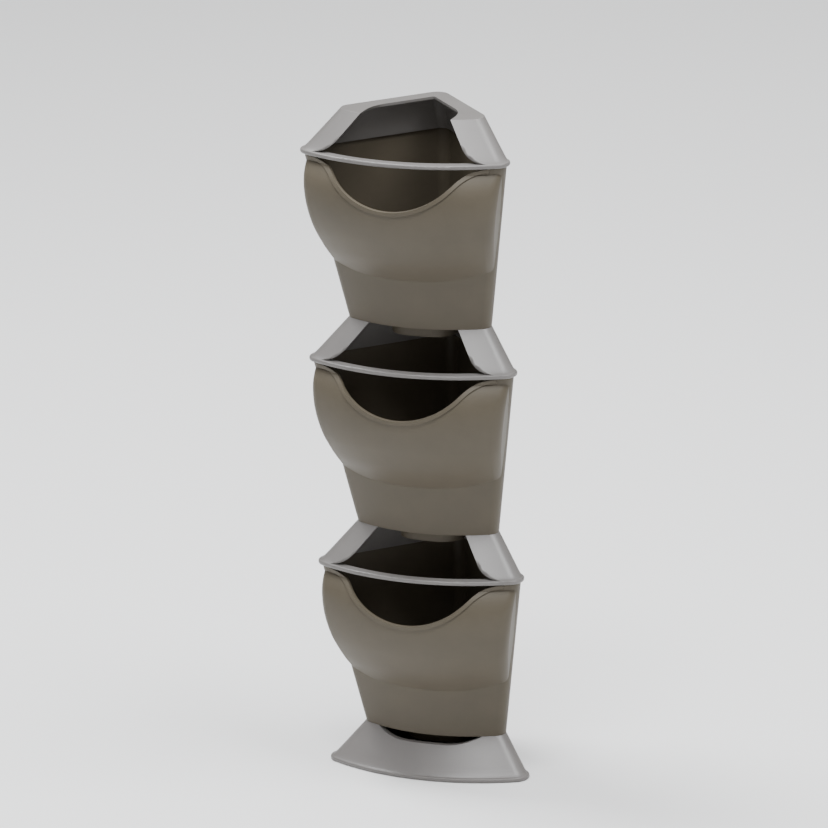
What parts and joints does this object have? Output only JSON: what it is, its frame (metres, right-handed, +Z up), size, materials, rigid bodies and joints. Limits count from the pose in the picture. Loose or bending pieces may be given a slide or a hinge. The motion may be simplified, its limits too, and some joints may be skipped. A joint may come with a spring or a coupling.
{
  "type": "vertical planter tower",
  "caption": "Corner-shaped planter tower of stacked flared pots with dipped front mouths, each under a windowed lid that carries the next, on a water tray.",
  "frame": {"origin": "centre of the bounding box's underside, where the tray rests on the floor", "axes": "+Z up the tower, -Y towards the curved front with the mouths, +Y towards the square back corner"},
  "size_m": [0.1956, 0.1438, 0.6066],
  "materials": {
    "tray_plastic": "satin moulded plastic, grey-taupe",
    "pot_plastic": "satin moulded plastic, grey-taupe",
    "lid_plastic": "satin moulded plastic, grey-taupe",
    "grid_plastic": "matt moulded plastic, dark grey"
  },
  "bodies": {
    "base_tray": {"base_tray": "tray_plastic"},
    "lower_pot": {"lower_pot": "pot_plastic"},
    "lower_lid": {"lower_lid": "lid_plastic"},
    "lower_grid": {"lower_grid": "grid_plastic"},
    "middle_pot": {"middle_pot": "pot_plastic"},
    "middle_lid": {"middle_lid": "lid_plastic"},
    "middle_grid": {"middle_grid": "grid_plastic"},
    "upper_pot": {"upper_pot": "pot_plastic"},
    "upper_lid": {"upper_lid": "lid_plastic"},
    "upper_grid": {"upper_grid": "grid_plastic"}
  },
  "joints": [
    {"name": "lower_pot_lift", "type": "slide", "parent": "base_tray", "child": "lower_pot", "axis": [0, 0, 1], "range_m": [0, 0.06]},
    {"name": "lower_lid_lift", "type": "slide", "parent": "lower_pot", "child": "lower_lid", "axis": [0, 0, 1], "range_m": [0, 0.05]},
    {"name": "lower_grid_lift", "type": "slide", "parent": "lower_pot", "child": "lower_grid", "axis": [0, 0, 1], "range_m": [0, 0.07]},
    {"name": "middle_pot_lift", "type": "slide", "parent": "lower_lid", "child": "middle_pot", "axis": [0, 0, 1], "range_m": [0, 0.06]},
    {"name": "middle_lid_lift", "type": "slide", "parent": "middle_pot", "child": "middle_lid", "axis": [0, 0, 1], "range_m": [0, 0.05]},
    {"name": "middle_grid_lift", "type": "slide", "parent": "middle_pot", "child": "middle_grid", "axis": [0, 0, 1], "range_m": [0, 0.07]},
    {"name": "upper_pot_lift", "type": "slide", "parent": "middle_lid", "child": "upper_pot", "axis": [0, 0, 1], "range_m": [0, 0.06]},
    {"name": "upper_lid_lift", "type": "slide", "parent": "upper_pot", "child": "upper_lid", "axis": [0, 0, 1], "range_m": [0, 0.05]},
    {"name": "upper_grid_lift", "type": "slide", "parent": "upper_pot", "child": "upper_grid", "axis": [0, 0, 1], "range_m": [0, 0.07]}
  ]
}
